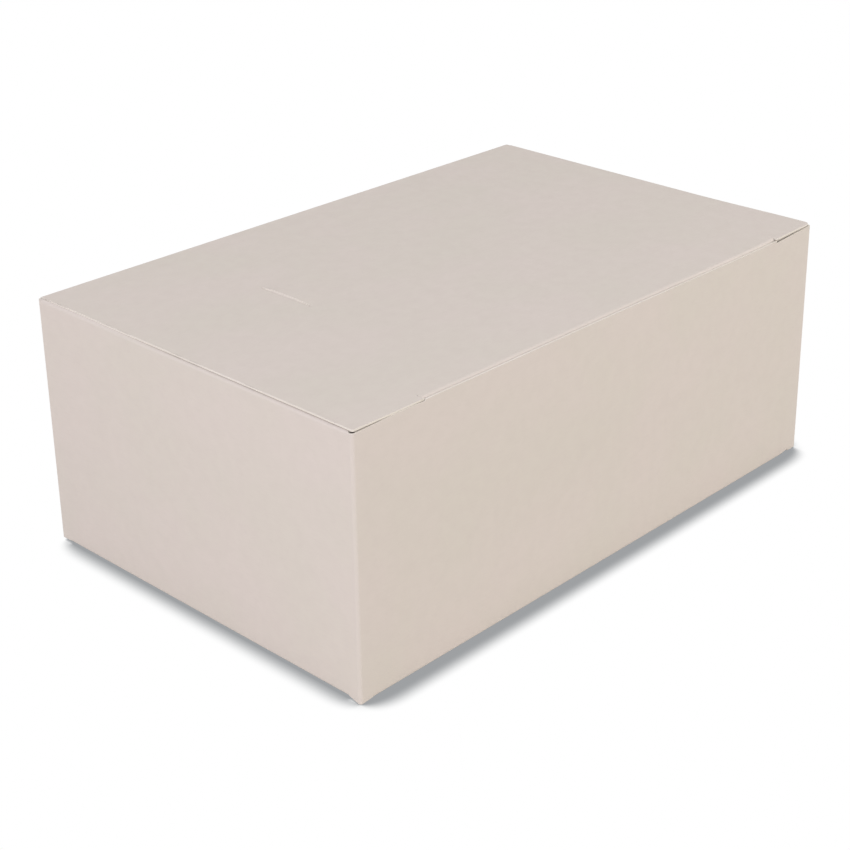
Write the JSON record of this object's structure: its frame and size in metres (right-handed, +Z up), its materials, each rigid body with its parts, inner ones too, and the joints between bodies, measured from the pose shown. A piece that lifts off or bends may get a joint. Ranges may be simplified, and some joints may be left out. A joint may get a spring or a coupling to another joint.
{
  "type": "carryout box",
  "caption": "Plain white paperboard carryout box, folded from one sheet, with an interlocking glued bottom, dust flaps and a hinged tuck top.",
  "frame": {"origin": "centre of the face that the box rests on, at table height", "axes": "+X along the long side, +Y from the tuck edge to the lid's fold, +Z up"},
  "size_m": [0.1782, 0.1148, 0.0703],
  "materials": {
    "board": "matte coated white paperboard"
  },
  "bodies": {
    "carton": {"carton_body": "board"},
    "lid": {"lid": "board"}
  },
  "joints": [
    {"name": "lid_hinge", "type": "hinge", "parent": "carton", "child": "lid", "pos_m": [0, 0.05745, 0.06945], "axis": [-1, 0, 0], "range_deg": [0, 180]}
  ]
}
